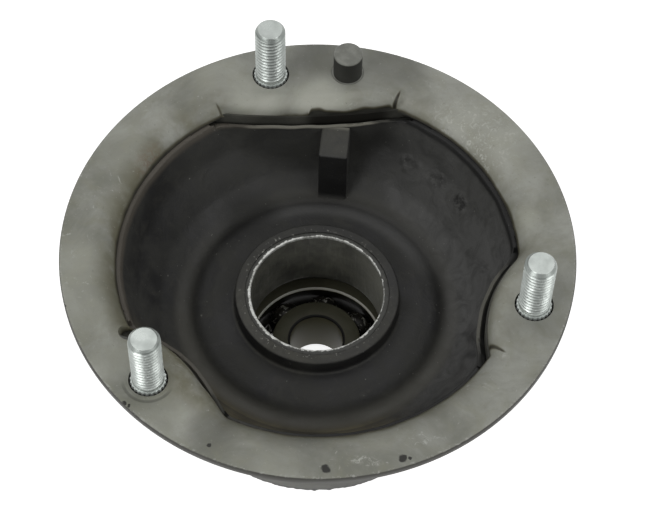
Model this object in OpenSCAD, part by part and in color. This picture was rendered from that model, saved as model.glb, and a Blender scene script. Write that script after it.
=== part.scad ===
// Suspension strut mount: a round pressed-steel flange with three studs and a locating pin carries
// a conical shell. A moulded rubber bowl is bonded inside the shell and holds a drawn steel sleeve,
// and a deep-groove ball bearing sits in the foot of the sleeve.
// The origin is on the bearing axis, in the flange's upper face. +Z points out along the studs,
// and +Y points at the locating pin.

/* [Flange plate] */
// Outer diameter of the flange
flange_d = 130; // [128:1:140]
// Thickness of the flange plate
plate_t = 2.5; // [2.2:0.1:2.8]
// Width of the flange, from its rim to the opening inside the turned-down lip
flange_w = 14.5; // [14:0.25:15.5]
// Bend radius of the lip, on its upper side
lip_bend_r = 8; // [6:0.5:8.5]
// Depth of the lip's lower edge under the flange face
lip_depth = 5.5; // [5.2:0.1:6]
// How far an ear's lip reaches in from its stud
ear_reach = 10.5; // [10.5:0.25:11.5]
// Radius of the arc of the two short ears, at their studs
ear_curve = 22; // [20:1:30]
// Radius of the arc of the long ear, at its stud and the pin
long_ear_curve = 164; // [140:1:200]
// Bend radius of the lip on the ears
ear_bend_r = 4; // [3:0.25:4]
// Diameter of the round vent notch in the lip
vent_d = 5.2; // [4.4:0.2:5.6]
// Angle of the vent notch from the locating pin
vent_angle = 126; // [122:1:128]

/* [Studs and pin] */
// Distance of the studs and the pin from the flange's rim
stud_inset = 9; // [8.5:0.25:10]
// Thread diameter of the studs
stud_d = 8; // [6:0.5:8]
// Height of the studs over the flange face
stud_h = 19; // [14:1:30]
// Length of the pointed end of a stud
stud_tip_h = 1.8; // [1:0.2:3]
// Diameter of the flat end of a stud
stud_end_d = 5.8; // [4:0.2:5.9]
// Diameter over the splines that key a stud in the plate
spline_d = 9.4; // [8.8:0.1:9.6]
// Depth of the splines
spline_depth = 0.4; // [0.2:0.05:0.6]
// Diameter of the plain shoulder over the splines
shoulder_d = 8.7; // [8.2:0.1:8.8]
// Height of that shoulder over the flange face
shoulder_rise = 0.4; // [0.3:0.1:1]
// Gap between the splines and their hole
spline_gap = 0.15; // [0.1:0.05:0.2]
// Diameter of a stud's head
head_d = 13; // [12:0.5:13.5]
// Thickness of a stud's head
head_t = 3.6; // [2.5:0.1:4.5]
// Angle from the locating pin to the first stud
first_stud = 21; // [18:1:24]
// Diameter of the locating pin
pin_d = 7.6; // [6:0.1:8]
// Height of the locating pin over the flange face
pin_h = 8; // [5:0.5:12]
// Diameter of the pin's root, pressed into the plate
pin_root_d = 8.6; // [8.2:0.1:9.4]
// Chamfer on the locating pin's end
pin_chamfer = 0.5; // [0.4:0.1:1.2]
// Diameter of the collar that stops the pin under the plate
pin_collar_d = 11; // [10:0.5:13]
// Thickness of that collar
pin_collar_t = 1.6; // [1:0.2:3]

/* [Shell] */
// Wall of the conical shell
shell_t = 2; // [1.6:0.1:2.2]
// How far the shell's own flange, welded under the plate, stays inside the plate's rim
shell_inset = 3; // [2:0.25:4]
// Radius of the shell's inside at its waist
waist_r = 46.5; // [46:0.25:47.5]
// Depth of the waist under the flange face
waist_drop = 24; // [23:0.5:26]
// Outer radius of the shell's foot
foot_r = 37.5; // [36.5:0.5:39.5]
// Depth of the foot under the flange face
foot_drop = 62; // [61.5:0.5:66]
// Inner radius of the foot's turned-in lip
foot_lip_r = 32.5; // [31.5:0.5:33.5]

/* [Rubber body] */
// Rubber over the shell where it passes the studs
ear_rubber_t = 2; // [1.5:0.25:2.75]
// Rubber collar around the sleeve's neck
collar_t = 2.6; // [1.5:0.1:3.5]
// Depth of the flat ledge around the collar
ledge_drop = 26; // [24:0.5:27]
// Radius of the ledge's outer shoulder
ledge_r = 31; // [29:0.5:31.5]
// Radius of the groove's floor
groove_r = 34.8; // [34.5:0.1:36]
// Depth of the groove's floor under the flange face
groove_drop = 31; // [29:0.5:32]
// Width of the rib that stands in the groove, behind the pin
rib_w = 7.6; // [5:0.2:10]
// Angle from the locating pin to the rib
rib_turn = 1.5; // [0:0.5:4]
// Radius of the rib's front face
rib_r = 34.6; // [33:0.1:36]
// Depth of the rib's top edge under the flange face
rib_drop = 9.2; // [8:0.2:12]
// Depth of the rubber's underside beside the shell
underside_drop = 55; // [52:0.5:57]

/* [Sleeve and bearing] */
// Inner radius of the sleeve's neck
neck_r = 17.2; // [16:0.1:17.4]
// Wall of the sleeve
sleeve_t = 1.6; // [1.2:0.1:2]
// Depth of the sleeve's rim under the flange face
rim_drop = 21.3; // [20:0.1:23]
// Depth of the bearing's upper face under the flange face
bearing_drop = 47.5; // [46.5:0.1:48]
// Outer diameter of the bearing
bearing_d = 42; // [41:0.5:43]
// Width of the bearing's outer race
bearing_w = 13; // [12:0.1:13.2]
// Bore of the inner race
bore_d = 14.2; // [12:0.1:16]
// How far the inner race stands over the outer race
inner_rise = 2.2; // [0:0.1:3]
// Outer diameter of the inner race's shoulder
inner_shoulder_d = 23.6; // [22.8:0.1:24.4]
// Wall of the outer race at its shoulder
outer_race_t = 3.5; // [3.2:0.1:3.9]
// Diameter of the balls
ball_d = 7.94; // [7:0.02:8]
// Gap between a ball and its raceways
raceway_gap = 0.12; // [0.08:0.01:0.2]
// Sheet thickness of the cage
cage_t = 0.6; // [0.5:0.05:0.7]
// Radial width of the cage's ribbon
cage_w = 2.8; // [2.2:0.1:3.2]
// Gap between a ball and its cage pocket
pocket_gap = 0.18; // [0.12:0.02:0.25]
// Diameter of the cage rivets
rivet_d = 1.1; // [0.8:0.1:1.2]

/* [Hidden] */
$fn = 96;

// Spare length by which a cutting solid passes the face that it cuts
over = 1;
// Segments in a quarter circle of a drawn profile
quarter_steps = 6;
// A corner whose half angle is wider than this is as good as straight
straight_half = 89.9;
flange_r = flange_d / 2;
opening_r = flange_r - flange_w;
bolt_r = flange_r - stud_inset;
shell_flange_r = flange_r - shell_inset;
// The ears stay this far inside the flange's rim
ear_rim_gap = 2;
pin_angle = 90;
stud_angles = [for (i = [0 : 2]) pin_angle + first_stud + 120 * i];
// Running and press clearances
press_gap = 0.03;
rivet_gap = 0.05;
// How far three faces reach in from a stud: the pocket for its head, the shell's inner side and
// the rubber over it
head_gap = 2.5;
pocket_reach = head_d / 2 + head_gap;
inside_reach = pocket_reach + shell_t;
rubber_reach = inside_reach + ear_rubber_t;
// The shell's free edge at the ears stays under the plate's lip
ear_edge_gap = 1.2;
ear_edge_drop = lip_depth + ear_edge_gap;
// Depth at which the stud pockets end: below it the cone lies inside them
pocket_below_waist = 14;
pocket_drop = waist_drop + pocket_below_waist;
// Corners of the shell's inner side: under the plate, just outside its bend, at the waist and at
// the foot
shell_bend_gap = 0.5;
shell_brow = [opening_r + lip_bend_r + shell_bend_gap, -plate_t];
shell_waist = [waist_r, -waist_drop];
shell_foot = [foot_r - shell_t, -foot_drop + shell_t];
waist_bend_r = 14;
foot_bend_r = 2;
// Width of the rubber's edge that shows inside the plate's lip
edge_show = 0.6;
// How far outside the opening the centre of the vent notch lies
vent_in = 2;
// Corners of the bowl's wall, from the groove outwards and as shares of its depth
wall_top_run = 12;
wall_top_share = 0.5;
wall_foot_run = 6;
wall_foot_share = 0.8;
// Bends of the bowl's wall, groove and ledge, and how the ledge falls towards the groove
wall_top_bend_r = 14;
wall_foot_bend_r = 8;
groove_bend_r = 2.6;
ledge_bend_r = 6;
ledge_fall = 0.8;
ledge_fall_run = 4;
collar_foot_r = 0.9;
// The rubber's underside: an arch between the shell's foot and a skin around the bearing's seat
seat_rubber_t = 2.2;
seat_rubber_rise = 2.4;
arch_rise = 8;
arch_run = 4.5;
arch_bend_r = 4;
arch_foot_rise = 0.6;
arch_foot_bend_r = 2;
arch_seat_rise = 6;
seat_edge_r = 0.8;
collar_r = neck_r + sleeve_t + collar_t;
collar_edge_r = 0.5;
// The rubber collar ends just under the sleeve's rim
rim_show = 0.2;
collar_drop = rim_drop + rim_show;
bearing_r = bearing_d / 2;
inner_shoulder_r = inner_shoulder_d / 2;
outer_shoulder_r = bearing_r - outer_race_t;
bearing_foot = bearing_drop + bearing_w;
ball_drop = bearing_drop + bearing_w / 2;
pitch_r = (inner_shoulder_r + outer_shoulder_r) / 2;
raceway_r = ball_d / 2 + raceway_gap;
race_chamfer = 0.6;
pocket_ball_r = ball_d / 2 + pocket_gap;
ball_count = 8;
ball_step = 360 / ball_count;
// The sleeve's drawn shoulder: its top corner, its foot over the bearing, and its bends
shoulder_fall = 2.4;
shoulder_h = bearing_r - neck_r + shoulder_fall;
shoulder_foot = 1.2;
shoulder_bend_r = 1.8;
// The crimp that holds the bearing from below
crimp_t = 1.2;
crimp_in = 1.2;
crimp_chamfer = 0.8;
spline_count = 24;
spline_top = 0.3;
head_chamfer = 0.6;
cage_in_r = pitch_r - cage_w / 2;
cage_out_r = pitch_r + cage_w / 2;
rivet_head_share = 1.7;
rivet_head_d = rivet_d * rivet_head_share;
rivet_head_t = 0.4;

steel_grey = [0.47, 0.47, 0.45];
shell_grey = [0.40, 0.39, 0.37];
rubber_black = [0.13, 0.13, 0.13];
sleeve_grey = [0.30, 0.30, 0.29];
bearing_steel = [0.66, 0.66, 0.66];
cage_steel = [0.50, 0.49, 0.46];
zinc = [0.80, 0.81, 0.82];
pin_grey = [0.38, 0.38, 0.36];

function polar(radius, angle) = [radius * cos(angle), radius * sin(angle)];

// One corner of an outline: its arc, or the bare point where the radius is zero
function corner_arc(before, at, after, radius) =
    let (
        u = (before - at) / norm(before - at),
        v = (after - at) / norm(after - at),
        half = acos(u * v) / 2,
        side = sign(u.x * v.y - u.y * v.x),
        centre = at + (u + v) / norm(u + v) * radius / sin(half),
        turn = 180 - 2 * half,
        steps = max(1, ceil(quarter_steps * turn / 90)),
        from = at + u * radius / tan(half) - centre,
        start = atan2(from.y, from.x)
    )
    radius == 0 || half > straight_half ? [at]
        : [for (i = [0 : steps]) centre + polar(radius, start - side * turn * i / steps)];

// An outline through [x, y, corner radius] points
function rounded(points) =
    let (n = len(points), flat = [for (p = points) [p.x, p.y]])
    [for (i = [0 : n - 1])
        each corner_arc(flat[(i + n - 1) % n], flat[i], flat[(i + 1) % n], points[i][2])];

function reversed(points) = [for (i = [len(points) - 1 : -1 : 0]) points[i]];

// The radius at which the straight line from a to b passes a height
function radius_at(a, b, height) = a.x + (b.x - a.x) * (height - a.y) / (b.y - a.y);

pin_at = polar(bolt_r, pin_angle);
stud_at = [for (a = stud_angles) polar(bolt_r, a)];
// The ears: direction, distance of the studs from the axis along it, and radius of the arc there.
// The first ear carries a stud and the pin, so it points between them.
long_ear_base = bolt_r * cos(first_stud / 2);
ear_arcs = [
    [pin_angle + first_stud / 2, long_ear_base, long_ear_curve],
    [stud_angles[1], bolt_r, ear_curve],
    [stud_angles[2], bolt_r, ear_curve]];

// The rib is rooted this far out, inside the rubber, and its top rises to there
rib_root = 1.65;
rib_out = long_ear_base - rubber_reach + rib_root;
rib_rise = 2.4;

module at_stud(index) {
    translate(stud_at[index]) children();
}

// Half section of a flat with a rolled-down edge, from its centre line out to the edge
function ear_section(radius, bend, top, low) =
    rounded([[0, top, 0], [radius, top, bend], [radius, low, 0], [0, low, 0]]);

// The ears of the plate: discs around far centres, which reach a distance inside the studs
module ears(reach, bend, top, low) {
    for (ear = ear_arcs)
        rotate(ear[0]) translate([ear[1] + ear[2], 0, 0])
            rotate_extrude() polygon(ear_section(ear[2] + reach, bend, top, low));
}

// Upright pockets around the studs, one to each ear
module stud_pockets(reach, low, high) {
    ears(reach, 0, high, low);
}

module flange_ring(inner, bend, outer, top, low) {
    rotate_extrude()
        polygon(rounded([[inner, low, 0], [inner, top, bend], [outer, top, 0], [outer, low, 0]]));
}

// The ears as far as they lie inside the flange's rim
module plate_ears(reach, bend, top, low) {
    intersection() {
        ears(reach, bend, top, low);
        translate([0, 0, low - over]) cylinder(r = flange_r - ear_rim_gap, h = top - low + 2 * over);
    }
}

module plate_blank() {
    low = -max(lip_depth, lip_bend_r) - over;
    difference() {
        union() {
            flange_ring(opening_r, lip_bend_r, flange_r, 0, low);
            plate_ears(ear_reach, ear_bend_r, 0, low);
        }
        flange_ring(opening_r + plate_t, lip_bend_r - plate_t, flange_r + over, -plate_t, low - over);
        plate_ears(ear_reach - plate_t, ear_bend_r - plate_t, -plate_t, low - over);
    }
}

module upper_plate() {
    color(steel_grey)
        difference() {
            intersection() {
                plate_blank();
                translate([0, 0, -lip_depth]) cylinder(r = flange_r + over, h = lip_depth + over);
            }
            for (i = [0 : 2])
                at_stud(i) translate([0, 0, -plate_t - over])
                    cylinder(d = spline_d + 2 * spline_gap, h = plate_t + 2 * over);
            translate(pin_at) translate([0, 0, -plate_t - over])
                cylinder(d = pin_root_d + 2 * press_gap, h = plate_t + 2 * over);
            translate(polar(opening_r + vent_in, pin_angle + vent_angle))
                translate([0, 0, -lip_depth - over]) cylinder(d = vent_d, h = lip_depth + 2 * over);
        }
}

module lower_shell() {
    color(shell_grey)
        difference() {
            rotate_extrude()
                polygon(rounded([
                    [foot_lip_r, -plate_t, 0],
                    [shell_flange_r, -plate_t, 0],
                    [shell_flange_r, -plate_t - shell_t, 0],
                    [shell_brow.x + shell_t, -plate_t - shell_t, 0],
                    [waist_r + shell_t, -waist_drop, waist_bend_r],
                    [foot_r, -foot_drop, foot_bend_r + shell_t],
                    [foot_lip_r, -foot_drop, 0]]));
            stud_pockets(pocket_reach, -pocket_drop, -plate_t + over);
            difference() {
                rotate_extrude()
                    polygon(rounded([
                        [foot_lip_r - over, -plate_t + over, 0],
                        [shell_brow.x, -plate_t + over, 0],
                        [shell_brow.x, -plate_t, 0],
                        [waist_r, -waist_drop, waist_bend_r],
                        [shell_foot.x, shell_foot.y, foot_bend_r],
                        [foot_lip_r - over, shell_foot.y, 0]]));
                stud_pockets(inside_reach, -pocket_drop - over, over);
            }
            stud_pockets(inside_reach + over, -ear_edge_drop, -plate_t + over);
        }
}

// The open bowl over the rubber, from the plate's lip down into the groove and up to the collar
function bowl() = rounded([
    [neck_r + sleeve_t - over, over - lip_depth, 0],
    [opening_r - edge_show, over - lip_depth, 0],
    [opening_r - edge_show, -lip_depth, 0],
    [groove_r + wall_top_run, -wall_top_share * groove_drop, wall_top_bend_r],
    [groove_r + wall_foot_run, -wall_foot_share * groove_drop, wall_foot_bend_r],
    [groove_r, -groove_drop, groove_bend_r],
    [ledge_r, -ledge_drop - ledge_fall, groove_bend_r],
    [ledge_r - ledge_fall_run, -ledge_drop, ledge_bend_r],
    [collar_r, -ledge_drop, collar_foot_r],
    [collar_r, -collar_drop, collar_edge_r],
    [neck_r + sleeve_t - over, -collar_drop, 0]]);

// The sleeve's outer side, from the height of its rim down to its crimped foot
sleeve_out = [
    [neck_r + sleeve_t, -bearing_drop + shoulder_h, shoulder_bend_r],
    [bearing_r + sleeve_t, -bearing_drop + shoulder_foot, shoulder_bend_r + sleeve_t]];

module rubber_blank() {
    seat_r = bearing_r + sleeve_t;
    rotate_extrude()
        polygon(rounded(concat(
            [[neck_r + sleeve_t, -lip_depth, 0],
            [radius_at(shell_brow, shell_waist, -lip_depth), -lip_depth, 0],
            [waist_r, -waist_drop, waist_bend_r],
            [radius_at(shell_waist, shell_foot, -underside_drop), -underside_drop, 0],
            [foot_lip_r, -underside_drop + arch_foot_rise, arch_foot_bend_r],
            [foot_lip_r - arch_run, -underside_drop + arch_rise, arch_bend_r],
            [seat_r + seat_rubber_t, -underside_drop + arch_seat_rise, arch_foot_bend_r],
            [seat_r + seat_rubber_t, -bearing_foot + seat_rubber_rise, seat_edge_r],
            [seat_r, -bearing_foot + seat_rubber_rise, 0]],
            reversed(sleeve_out))));
}

module rubber_body() {
    color(rubber_black) {
        difference() {
            rubber_blank();
            difference() {
                rotate_extrude() polygon(bowl());
                stud_pockets(rubber_reach, -pocket_drop - over, over);
            }
            stud_pockets(inside_reach, -pocket_drop, over);
            stud_pockets(rubber_reach + over, -ear_edge_drop, over);
        }
        rotate(rib_turn) rotate([90, 0, 90])
            linear_extrude(rib_w, center = true)
                polygon([[rib_r, -rib_drop], [rib_r, -groove_drop - over], [rib_out, -groove_drop - over],
                    [rib_out, -rib_drop + rib_rise]]);
    }
}

module bearing_sleeve() {
    color(sleeve_grey)
        rotate_extrude()
            polygon(rounded(concat(
                [[neck_r + sleeve_t, -rim_drop, 0]],
                sleeve_out,
                [[bearing_r + sleeve_t, -bearing_foot - crimp_t, crimp_chamfer],
                [bearing_r - crimp_in, -bearing_foot - crimp_t, 0],
                [bearing_r - crimp_in, -bearing_foot, 0],
                [bearing_r, -bearing_foot, 0],
                [bearing_r, -bearing_drop + shoulder_foot, shoulder_bend_r],
                [neck_r, -bearing_drop + shoulder_h, shoulder_bend_r + sleeve_t],
                [neck_r, -rim_drop, 0]])));
}

module raceway() {
    translate([0, 0, -ball_drop]) rotate_extrude() translate([pitch_r, 0]) circle(r = raceway_r);
}

module race(inner, outer, low, high) {
    difference() {
        rotate_extrude()
            polygon([[inner, low + race_chamfer], [inner + race_chamfer, low], [outer - race_chamfer, low],
                [outer, low + race_chamfer], [outer, high - race_chamfer], [outer - race_chamfer, high],
                [inner + race_chamfer, high], [inner, high - race_chamfer]]);
        raceway();
    }
}

module outer_race() {
    color(bearing_steel) race(outer_shoulder_r, bearing_r, -bearing_foot, -bearing_drop);
}

module inner_race() {
    color(bearing_steel) race(bore_d / 2, inner_shoulder_r, -bearing_foot, -bearing_drop + inner_rise);
}

module at_ball(index) {
    translate(polar(pitch_r, ball_step * index)) children();
}

// One pressed half of the ribbon cage, over the plane of the balls
module cage_half() {
    difference() {
        intersection() {
            union() {
                translate([0, 0, -over]) cylinder(r = cage_out_r + over, h = cage_t + over);
                for (i = [1 : ball_count])
                    at_ball(i) sphere(r = pocket_ball_r + cage_t);
            }
            difference() {
                cylinder(r = cage_out_r, h = pocket_ball_r + cage_t + over);
                translate([0, 0, -over]) cylinder(r = cage_in_r, h = pocket_ball_r + cage_t + 3 * over);
            }
        }
        for (i = [1 : ball_count]) {
            at_ball(i) sphere(r = pocket_ball_r);
            at_ball(i + 0.5) translate([0, 0, -over])
                cylinder(d = rivet_d + 2 * rivet_gap, h = cage_t + 2 * over);
        }
    }
}

module cage_upper() {
    color(cage_steel) translate([0, 0, -ball_drop]) cage_half();
}

module cage_lower() {
    color(cage_steel) translate([0, 0, -ball_drop]) mirror([0, 0, 1]) cage_half();
}

module cage_rivets() {
    color(cage_steel)
        for (i = [1 : ball_count])
            translate([0, 0, -ball_drop]) at_ball(i + 0.5)
                rotate_extrude()
                    polygon([[0, -cage_t - rivet_head_t], [rivet_head_d / 2, -cage_t - rivet_head_t],
                        [rivet_head_d / 2, -cage_t], [rivet_d / 2, -cage_t], [rivet_d / 2, cage_t],
                        [rivet_head_d / 2, cage_t], [rivet_head_d / 2, cage_t + rivet_head_t],
                        [0, cage_t + rivet_head_t]]);
}

module ball(index) {
    color(bearing_steel) translate([0, 0, -ball_drop]) at_ball(index) sphere(d = ball_d);
}

// A press-in stud: a flat head under the plate, splines that key it, a shoulder and the shank
module stud(index) {
    tip_r = spline_d / 2;
    color(zinc)
        at_stud(index) {
            rotate_extrude()
                polygon([[0, -plate_t - head_t], [head_d / 2 - head_chamfer, -plate_t - head_t],
                    [head_d / 2, -plate_t - head_t + head_chamfer], [head_d / 2, -plate_t],
                    [shoulder_d / 2, -plate_t], [shoulder_d / 2, shoulder_rise], [stud_d / 2, shoulder_rise],
                    [stud_d / 2, stud_h - stud_tip_h], [stud_end_d / 2, stud_h], [0, stud_h]]);
            translate([0, 0, -plate_t - head_chamfer])
                linear_extrude(plate_t + head_chamfer - spline_top)
                    polygon([for (k = [0 : 2 * spline_count - 1])
                        polar(tip_r - spline_depth * (k % 2), 180 * k / spline_count)]);
        }
}

module locating_pin() {
    color(pin_grey)
        translate(pin_at)
            rotate_extrude()
                polygon([[0, -plate_t - pin_collar_t], [pin_collar_d / 2, -plate_t - pin_collar_t],
                    [pin_collar_d / 2, -plate_t], [pin_root_d / 2, -plate_t], [pin_root_d / 2, 0],
                    [pin_d / 2, 0], [pin_d / 2, pin_h - pin_chamfer], [pin_d / 2 - pin_chamfer, pin_h],
                    [0, pin_h]]);
}

upper_plate();
lower_shell();
rubber_body();
bearing_sleeve();
outer_race();
inner_race();
cage_upper();
cage_lower();
cage_rivets();
ball(1);  // ball_1
ball(2);  // ball_2
ball(3);  // ball_3
ball(4);  // ball_4
ball(5);  // ball_5
ball(6);  // ball_6
ball(7);  // ball_7
ball(8);  // ball_8
stud(0);  // stud_1
stud(1);  // stud_2
stud(2);  // stud_3
locating_pin();
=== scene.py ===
import math
from types import SimpleNamespace
import bpy
import bmesh
from mathutils import Matrix, Vector, noise


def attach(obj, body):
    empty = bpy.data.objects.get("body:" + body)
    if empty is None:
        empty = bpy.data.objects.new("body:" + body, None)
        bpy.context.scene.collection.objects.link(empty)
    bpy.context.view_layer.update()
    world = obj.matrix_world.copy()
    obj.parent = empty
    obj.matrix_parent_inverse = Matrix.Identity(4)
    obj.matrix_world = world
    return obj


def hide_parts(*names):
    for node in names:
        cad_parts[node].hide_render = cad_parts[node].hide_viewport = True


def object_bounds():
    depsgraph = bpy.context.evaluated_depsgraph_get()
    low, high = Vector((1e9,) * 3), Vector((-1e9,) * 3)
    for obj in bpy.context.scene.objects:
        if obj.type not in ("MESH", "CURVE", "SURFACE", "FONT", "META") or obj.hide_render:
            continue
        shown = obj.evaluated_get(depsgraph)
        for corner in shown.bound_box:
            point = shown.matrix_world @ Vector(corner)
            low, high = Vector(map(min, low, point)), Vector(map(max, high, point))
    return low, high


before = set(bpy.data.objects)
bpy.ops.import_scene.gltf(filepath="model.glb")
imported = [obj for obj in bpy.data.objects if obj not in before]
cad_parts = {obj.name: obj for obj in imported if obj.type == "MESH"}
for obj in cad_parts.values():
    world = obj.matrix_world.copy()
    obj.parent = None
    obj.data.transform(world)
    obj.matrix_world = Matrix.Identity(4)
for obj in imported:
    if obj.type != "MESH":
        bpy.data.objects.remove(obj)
cadBox = [list(corner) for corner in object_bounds()]
mm = 0.001
print("frame loaded:", len(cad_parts), "nodes")


# helpers: colour, nodes and materials

def linear(hexText):
    parts = [int(hexText[i:i + 2], 16) / 255 for i in (1, 3, 5)]
    return [p / 12.92 if p <= 0.04045 else ((p + 0.055) / 1.055) ** 2.4 for p in parts] + [1.0]


def addNode(tree, kind, inputs=None, **settings):
    # shader nodes go by their short names
    node = tree.nodes.new(kind if "Node" in kind else "ShaderNode" + kind)
    for key, value in settings.items():
        setattr(node, key, value)
    for key, value in (inputs or {}).items():
        if isinstance(value, bpy.types.NodeSocket):
            tree.links.new(value, node.inputs[key])
        else:
            node.inputs[key].default_value = value
    return node


def emptied(owner):
    # the node tree of a new material or world
    owner.use_nodes = True
    owner.node_tree.nodes.clear()
    return owner.node_tree


def mask(tree, *terms, operation="MULTIPLY"):
    # the product of links, numbers and soft steps (value, low, high, start, end); of a list, the largest
    whole = None
    for term in terms:
        if isinstance(term, list):
            term = mask(tree, *term, operation="MAXIMUM")
        elif isinstance(term, tuple):
            value, low, high, start, end = (*term, 0.0, 1.0)[:5]
            limits = {"Value": value, "From Min": low, "From Max": high, "To Min": start, "To Max": end}
            term = addNode(tree, "MapRange", limits, interpolation_type="SMOOTHSTEP").outputs["Result"]
        if whole is None:
            whole = term
        else:
            whole = addNode(tree, "Math", {0: whole, 1: term}, operation=operation).outputs[0]
    return whole


def total(tree, *terms):
    # the sum of (value, weight) pairs
    whole = 0.0
    for value, weight in terms:
        links = {0: value, 1: weight, 2: whole}
        whole = addNode(tree, "Math", links, operation="MULTIPLY_ADD").outputs[0]
    return whole


def near(tree, place, point, inner, outer):
    # 1 inside a spot, 0 outside it
    gap = addNode(tree, "VectorMath", {0: place, 1: point}, operation="DISTANCE").outputs["Value"]
    return mask(tree, (gap, inner, outer, 1.0, 0.0))


def layered(tree, ground, *layers):
    # a ground colour, and (cover, colour) pairs laid over it
    colour = linear(ground)
    for cover, tint in layers:
        links = {0: mask(tree, cover), 6: colour, 7: linear(tint) if isinstance(tint, str) else tint}
        colour = addNode(tree, "Mix", links, data_type="RGBA").outputs[2]
    return colour


def startMaterial(name, **patterns):
    # places in millimetres, and noise patterns: size in millimetres, detail, roughness, distortion;
    # the pattern named rings runs around the axis
    material = bpy.data.materials.new(name)
    tree = emptied(material)
    coords = addNode(tree, "TexCoord").outputs["Object"]
    place = addNode(tree, "VectorMath", {0: coords, "Scale": 1000.0}, operation="SCALE").outputs[0]
    x, y, z = addNode(tree, "SeparateXYZ", {0: place}).outputs
    flat = addNode(tree, "CombineXYZ", {0: x, 1: y}).outputs[0]
    radius = addNode(tree, "VectorMath", {0: flat}, operation="LENGTH").outputs["Value"]
    around = addNode(tree, "CombineXYZ", {0: radius, 2: z}).outputs[0]
    made = SimpleNamespace(material=material, tree=tree, place=place, x=x, y=y, z=z, flat=flat, radius=radius)
    for key, numbers in patterns.items():
        size, detail, roughness, distortion = (*numbers, 0.0)[:4]
        look = {"Vector": around if key == "rings" else place, "Scale": 1 / size, "Detail": detail,
                "Roughness": roughness, "Distortion": distortion}
        setattr(made, key, addNode(tree, "TexNoise", look).outputs["Fac"])
    return made


def endMaterial(made, layers, inputs, heights=(), depth=0.0, strength=1.0):
    # heights are (pattern, weight) pairs, and depth is how high the bumps are in millimetres
    inputs["Base Color"] = layered(made.tree, *layers)
    if heights:
        bump = {"Height": total(made.tree, *heights), "Strength": strength, "Distance": depth * mm}
        inputs["Normal"] = addNode(made.tree, "Bump", bump).outputs["Normal"]
    shader = addNode(made.tree, "BsdfPrincipled", inputs)
    addNode(made.tree, "OutputMaterial", {"Surface": shader.outputs[0]})
    return made.material


# helpers: profiles, skins and pieces

def filleted(points, step=7.0):
    # a polyline through (x, y, corner radius) points, with the corners rounded
    line = []
    for i, (px, py, bend) in enumerate(points):
        at = Vector((px, py))
        if bend == 0 or i in (0, len(points) - 1):
            line.append(at)
            continue
        u = (Vector(points[i - 1][:2]) - at).normalized()
        v = (Vector(points[i + 1][:2]) - at).normalized()
        half = u.angle(v) / 2
        centre = at + (u + v).normalized() * bend / math.sin(half)
        start = at + u * bend / math.tan(half) - centre
        turn = (math.pi - 2 * half) * (-1 if u.x * v.y - u.y * v.x > 0 else 1)
        steps = max(2, math.ceil(abs(math.degrees(turn)) / step))
        line += [centre + Matrix.Rotation(turn * k / steps, 2) @ start for k in range(steps + 1)]
    return line


def dense(line, gap):
    # the same line with points no further apart than the gap
    out = [line[0]]
    for a, b in zip(line, line[1:]):
        n = max(1, math.ceil((b - a).length / gap))
        out += [a.lerp(b, k / n) for k in range(1, n + 1)]
    return out


def skinMesh(rows, columns, at):
    # a closed skin around the axis: at(row, angle) gives radius and height in millimetres
    points, faces = [], []
    for i in range(rows):
        for j in range(columns):
            angle = 2 * math.pi * j / columns
            r, z = at(i, angle)
            points.append((r * math.cos(angle) * mm, r * math.sin(angle) * mm, z * mm))
    for i in range(rows):
        for j in range(columns):
            n, m = (i + 1) % rows, (j + 1) % columns
            faces.append((i * columns + j, i * columns + m, n * columns + m, n * columns + j))
    mesh = bpy.data.meshes.new("skin")
    mesh.from_pydata(points, [], faces)
    return mesh


def lathe(outline, columns=180):
    return skinMesh(len(outline), columns, lambda i, angle: outline[i])


def faceOut(mesh, join=0.0):
    # joins points that lie closer than this, and turns the faces outwards
    work = bmesh.new()
    work.from_mesh(mesh)
    if join:
        bmesh.ops.remove_doubles(work, verts=work.verts, dist=join)
    bmesh.ops.recalc_face_normals(work, faces=work.faces)
    work.to_mesh(mesh)
    work.free()


def addPiece(name, mesh, material, body, nodes, sharp=35.0):
    mesh.name = name
    faceOut(mesh, 1e-7)
    mesh.shade_smooth()
    mesh.set_sharp_from_angle(angle=math.radians(sharp))
    mesh.materials.clear()
    mesh.materials.append(material)
    piece = bpy.data.objects.new(name, mesh)
    bpy.context.collection.objects.link(piece)
    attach(piece, body)
    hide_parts(*nodes)
    return piece


def smoothMin(a, b, soft):
    # the smaller value, with the change from one to the other rounded off
    h = max(soft - abs(a - b), 0.0) / soft
    return min(a, b) - h * h * soft / 4


def rough2(angle, z, size, seed):
    # repeatable unevenness around the part, -1 to 1
    return noise.noise(Vector((50 * math.cos(angle) / size, 50 * math.sin(angle) / size, z / size + seed)))


def bump1(value, centre, width):
    # 1 at the centre, fading out to both sides
    return math.exp(-((value - centre) / width) ** 2)


def within(value, low, high, soft):
    # 1 between two values, with soft ends
    return 0.25 * (1 + math.tanh((value - low) / soft)) * (1 + math.tanh((high - value) / soft))


# the three ears: direction, distance of their studs from the axis, arc at the studs
ears = [(100.5, 55.064, 164.0), (231.0, 56.0, 22.0), (351.0, 56.0, 22.0)]
studAngles = [111.0, 231.0, 351.0]
boltRadius = 56.0
studPlaces = [(boltRadius * math.cos(math.radians(a)), boltRadius * math.sin(math.radians(a)))
              for a in studAngles]


def earRadius(angle, reach):
    # where the nearest ear's outline crosses a direction, with the ear's arc widened by reach
    best = 1000.0
    for direction, base, curve in ears:
        turn = angle - math.radians(direction)
        centre, size = base + curve, curve + reach
        inside = size ** 2 - (centre * math.sin(turn)) ** 2
        if math.cos(turn) > 0 and inside > 0:
            best = min(best, centre * math.cos(turn) - math.sqrt(inside))
    return best


def turned(angle, degrees):
    # signed angle from a direction, in degrees
    return (math.degrees(angle) - degrees + 180) % 360 - 180


# materials

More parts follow.
